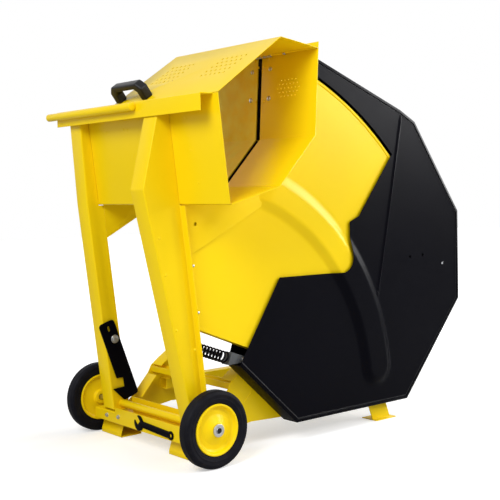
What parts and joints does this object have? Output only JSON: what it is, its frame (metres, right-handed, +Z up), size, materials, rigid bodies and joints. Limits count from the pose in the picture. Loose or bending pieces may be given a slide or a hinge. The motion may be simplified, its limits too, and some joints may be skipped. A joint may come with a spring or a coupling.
{
  "type": "firewood circular saw",
  "caption": "Firewood saw with a rocking log cradle, a guarded circular blade and two transport wheels.",
  "frame": {"origin": "on the ground under the middle of the machine's box", "axes": "+X from the operator's side towards the back of the guard, +Y along the log away from the cover's side, +Z up"},
  "size_m": [1.491, 0.928, 1.363],
  "materials": {
    "yellow_paint": "satin powder coat, signal yellow",
    "black_paint": "satin powder coat, black",
    "tyre": "solid rubber",
    "zinc": "zinc plated",
    "steel": "ground",
    "grey_paint": "semi-matt",
    "black_plastic": "moulded, finely grained",
    "green_plastic": "moulded",
    "red_plastic": "moulded"
  },
  "bodies": {
    "frame": {"axle_shaft": "steel", "axle_washer_near": "zinc", "axle_washer_far": "zinc", "front_beam": "yellow_paint", "front_foot_near": "yellow_paint", "front_foot_far": "yellow_paint", "axle_cheek_near": "yellow_paint", "axle_cheek_far": "yellow_paint", "side_web_near": "yellow_paint", "side_web_far": "yellow_paint", "cross_member": "yellow_paint", "far_rail": "yellow_paint", "rear_crossbar": "yellow_paint", "rear_foot_near": "yellow_paint", "rear_foot_far": "yellow_paint", "spanner": "black_paint", "guard_cover": "black_paint", "guard_far_plate": "black_paint", "guard_rim": "black_paint", "guard_front_strip": "black_paint", "return_spring": "black_paint", "spring_bracket": "grey_paint", "bracket_bolt": "zinc", "motor_flange": "grey_paint", "motor_housing": "grey_paint", "motor_cowl": "black_plastic", "terminal_box": "black_plastic", "switch_box": "black_plastic", "power_inlet": "red_plastic"},
    "wheel_near": {"tyre_near": "tyre", "wheel_near": "yellow_paint"},
    "wheel_far": {"tyre_far": "tyre", "wheel_far": "yellow_paint"},
    "blade": {"saw_blade": "steel", "blade_flange_outer": "steel", "blade_flange_inner": "steel", "blade_nut": "zinc", "motor_shaft": "steel"},
    "start_button": {"start_button": "green_plastic"},
    "stop_button": {"stop_button": "red_plastic"},
    "latch": {"latch_hook": "black_paint"},
    "cradle": {"trough_bed_near": "yellow_paint", "trough_bed_far": "yellow_paint", "trough_front_wall": "yellow_paint", "slot_head_plate": "yellow_paint", "hood": "yellow_paint", "rim_channel": "yellow_paint", "handle_bar": "yellow_paint", "side_grip": "black_plastic", "leg_near": "yellow_paint", "pivot_tube": "yellow_paint", "leg_far": "yellow_paint", "spring_seat": "yellow_paint", "gusset_near": "yellow_paint", "gusset_far": "yellow_paint", "fan_near": "yellow_paint", "fan_far": "yellow_paint", "latch_bolt": "zinc"}
  },
  "joints": [
    {"name": "cradle_swing", "type": "hinge", "parent": "frame", "child": "cradle", "pos_m": [-0.5385, 0, 0.125], "axis": [0, 1, 0], "range_deg": [0, 28], "stiffness_Nm_per_rad": 500, "springref_deg": -28.65, "deforming": ["return_spring"]},
    {"name": "blade_spin", "type": "hinge", "parent": "frame", "child": "blade", "pos_m": [0.0985, -0.184, 0.622], "axis": [0, 1, 0], "continuous": true},
    {"name": "wheel_near_spin", "type": "hinge", "parent": "frame", "child": "wheel_near", "pos_m": [-0.5385, -0.269, 0.125], "axis": [0, 1, 0], "continuous": true},
    {"name": "wheel_far_spin", "type": "hinge", "parent": "frame", "child": "wheel_far", "pos_m": [-0.5385, 0.435, 0.125], "axis": [0, 1, 0], "continuous": true},
    {"name": "latch_swing", "type": "hinge", "parent": "cradle", "child": "latch", "pos_m": [-0.5655, 0.267, 0.359], "axis": [0, -1, 0], "range_deg": [0, 20]},
    {"name": "start_press", "type": "slide", "parent": "frame", "child": "start_button", "axis": [1, 0, 0], "range_m": [0, 0.0035], "stiffness_N_per_m": 900, "springref_m": -0.002},
    {"name": "stop_press", "type": "slide", "parent": "frame", "child": "stop_button", "axis": [1, 0, 0], "range_m": [0, 0.0035], "stiffness_N_per_m": 900, "springref_m": -0.002}
  ]
}
